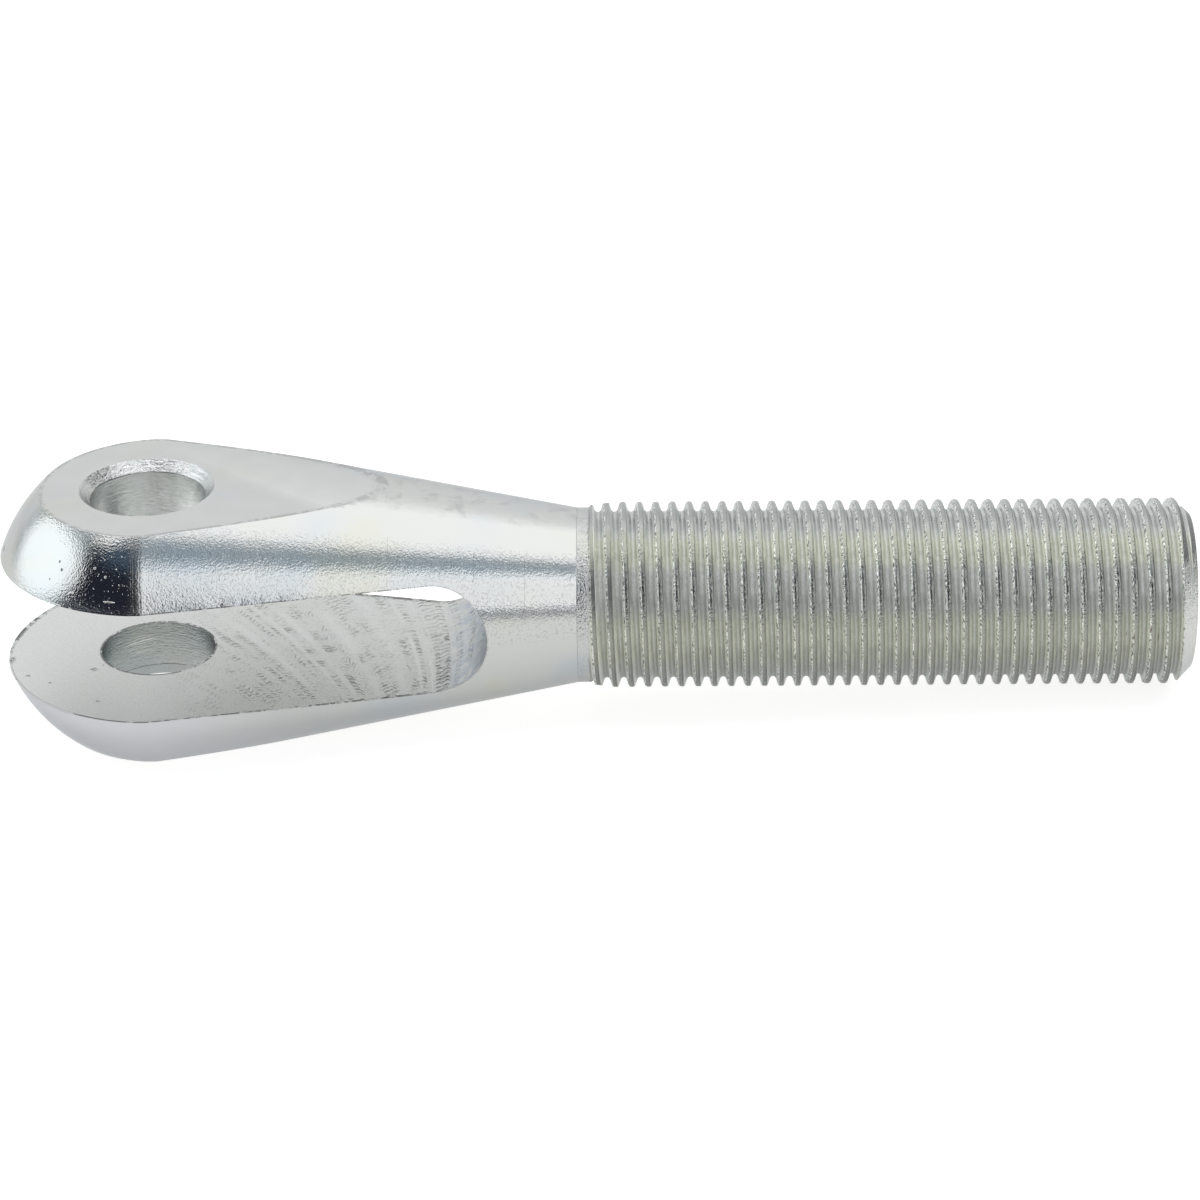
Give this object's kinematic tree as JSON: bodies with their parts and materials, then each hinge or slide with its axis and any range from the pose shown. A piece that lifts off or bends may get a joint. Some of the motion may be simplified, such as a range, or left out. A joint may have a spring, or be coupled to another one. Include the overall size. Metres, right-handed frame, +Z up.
{
  "type": "clevis rod end",
  "caption": "Turned steel fork with a full-radius slot, a cross bore for a clevis pin and a long male threaded shank.",
  "frame": {"origin": "on the rod axis where the pin bore crosses it, midway through the fork", "axes": "+X along the rod axis from the bore towards the threaded end; +Z up along the pin bore, square to the ear flats; +Y completes the right-handed set, along the slot's through direction"},
  "size_m": [0.1009, 0.0268, 0.0213],
  "materials": {
    "zinc_plated_steel": "bright zinc plating over machined steel, with a faint blue and yellow cast"
  },
  "bodies": {
    "root": {"clevis_rod_end": "zinc_plated_steel"}
  },
  "joints": []
}
